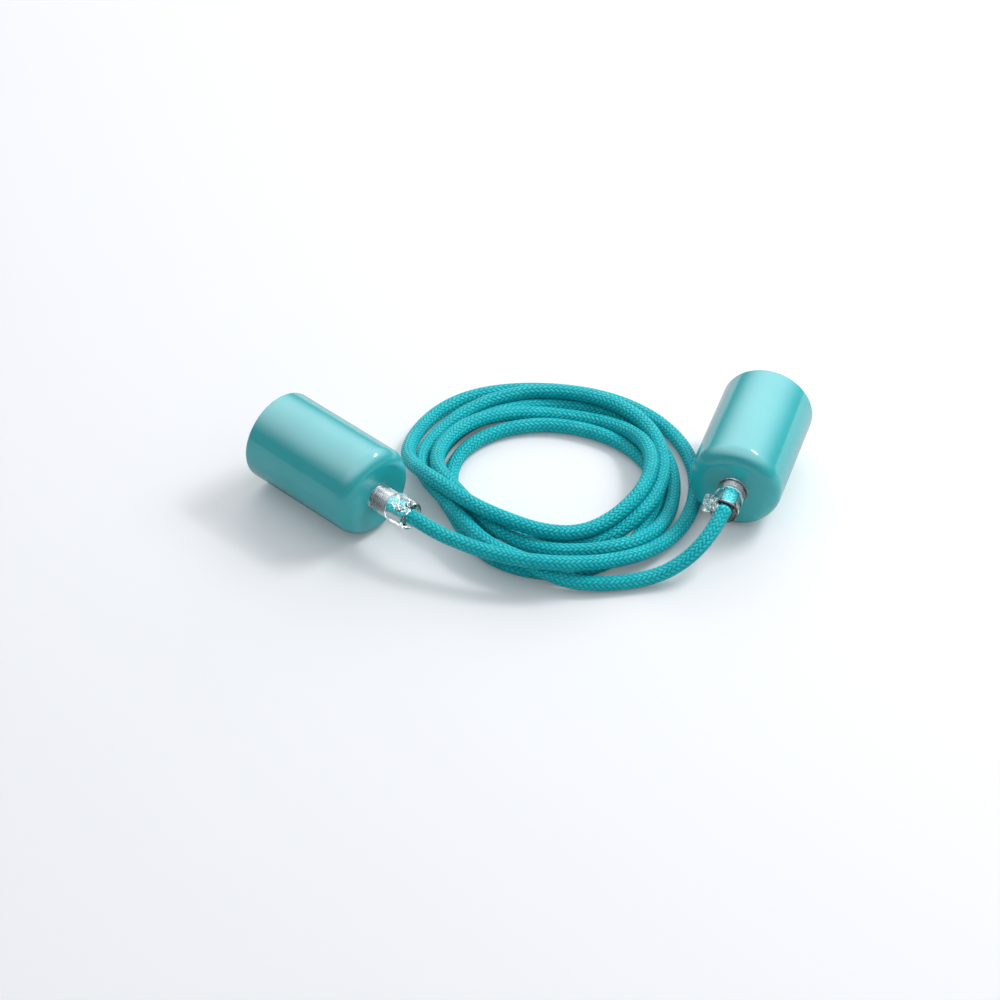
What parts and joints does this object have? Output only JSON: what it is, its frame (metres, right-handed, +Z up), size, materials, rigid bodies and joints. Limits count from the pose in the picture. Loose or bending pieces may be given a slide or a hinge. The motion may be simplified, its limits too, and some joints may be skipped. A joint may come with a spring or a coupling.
{
  "type": "pendant lamp cord set",
  "caption": "Pendant lamp cord set: metal ceiling cup and metal lampholder cup joined by a loosely coiled textile cord, with clear cord grips.",
  "frame": {"origin": "on the floor, under the middle of the two cups' common outline as the set lies", "axes": "+Z up from the floor, +Y along the lampholder cup's axis towards its open end, +X from the ceiling cup towards the lampholder cup"},
  "size_m": [0.2449, 0.1498, 0.0439],
  "materials": {
    "enamel": "glossy mint enamel on steel",
    "clear_plastic": "clear moulded plastic",
    "zinc": "zinc plated steel",
    "brass": "turned and pressed brass",
    "white_plastic": "white thermoplastic",
    "textile": "turquoise braided textile",
    "brown_core": "brown insulation",
    "blue_core": "blue insulation",
    "green_core": "green and yellow insulation"
  },
  "bodies": {
    "root": {"ceiling_cup": "enamel", "ceiling_cord_grip": "clear_plastic", "ceiling_grip_screw": "clear_plastic", "ceiling_nipple": "zinc", "ceiling_lock_washer": "zinc", "ceiling_lock_nut": "zinc", "terminal_block": "white_plastic", "terminal_insert_live": "brass", "terminal_insert_neutral": "brass", "terminal_insert_earth": "brass", "terminal_screw_live_1": "brass", "terminal_screw_live_2": "brass", "terminal_screw_neutral_1": "brass", "terminal_screw_neutral_2": "brass", "terminal_screw_earth_1": "brass", "terminal_screw_earth_2": "brass", "ceiling_core_live": "brown_core", "ceiling_core_neutral": "blue_core", "ceiling_core_earth": "green_core", "socket_cup": "enamel", "socket_cord_grip": "clear_plastic", "socket_grip_screw": "clear_plastic", "socket_nipple": "zinc", "socket_lock_nut": "zinc", "earth_tag": "brass", "lampholder_cap": "white_plastic", "lampholder_skirt": "white_plastic", "lampholder_core": "white_plastic", "screw_shell": "brass", "centre_contact": "brass", "live_terminal": "brass", "neutral_terminal": "brass", "live_terminal_screw": "brass", "neutral_terminal_screw": "brass", "socket_core_live": "brown_core", "socket_core_neutral": "blue_core", "socket_core_earth": "green_core", "ceiling_lead": "textile", "socket_lead": "textile", "cord_coil": "textile"}
  },
  "joints": []
}
